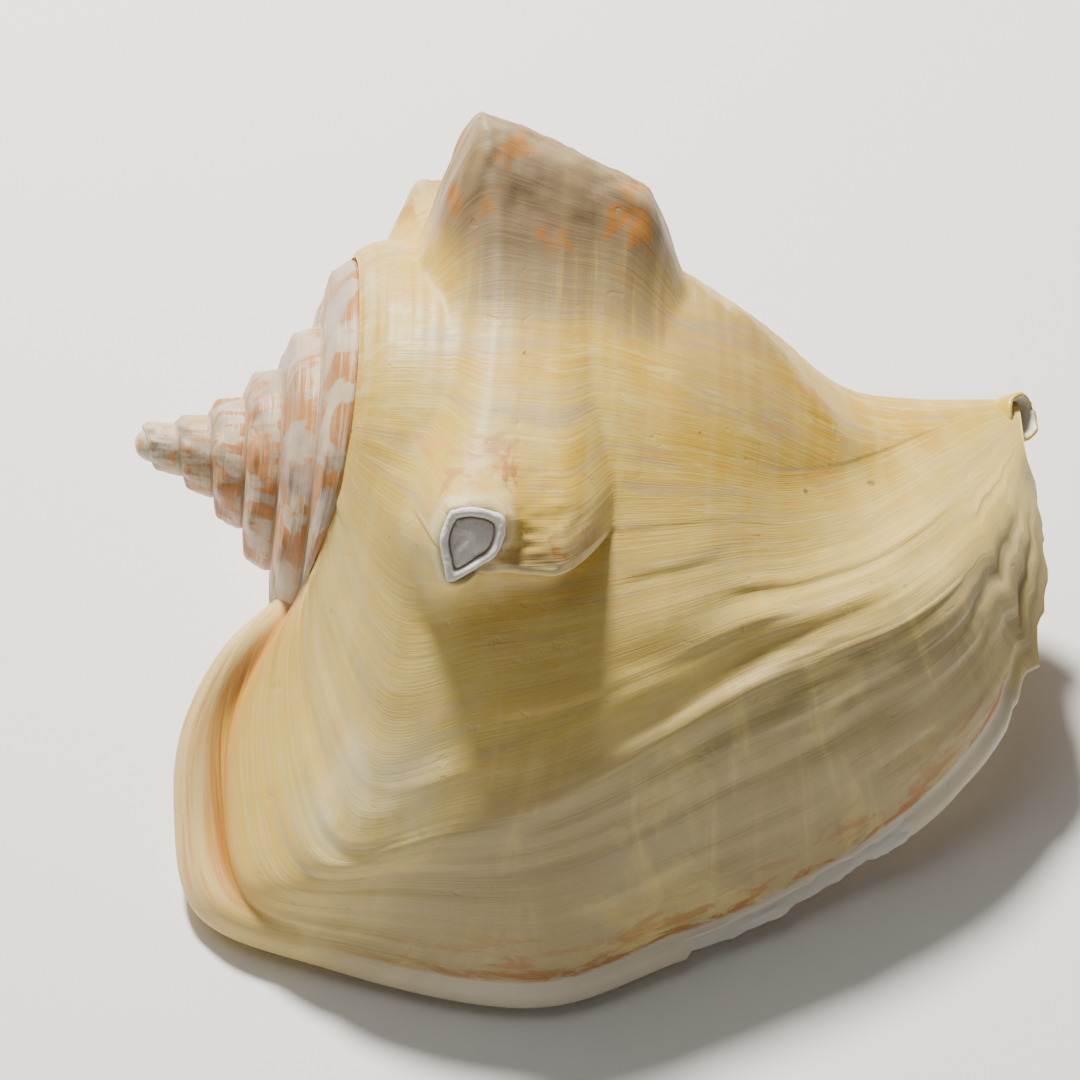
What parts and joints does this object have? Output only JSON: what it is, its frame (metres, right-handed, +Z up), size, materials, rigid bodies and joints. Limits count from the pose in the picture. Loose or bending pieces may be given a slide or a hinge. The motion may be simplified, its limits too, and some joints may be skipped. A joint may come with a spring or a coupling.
{
  "type": "conch shell",
  "caption": "Large conch shell with a stepped conical spire, blunt shoulder knobs and a wide flared lip, lying on its aperture.",
  "frame": {"origin": "centre of the bounding box, at the level of the surface that the shell rests on", "axes": "+Z up in the resting pose, +X from the apex of the spire towards the siphonal canal, -Y towards the flared lip"},
  "size_m": [0.2311, 0.2062, 0.1467],
  "materials": {
    "shell": "satin, chalky on the outside"
  },
  "bodies": {
    "root": {"shell": "shell"}
  },
  "joints": []
}
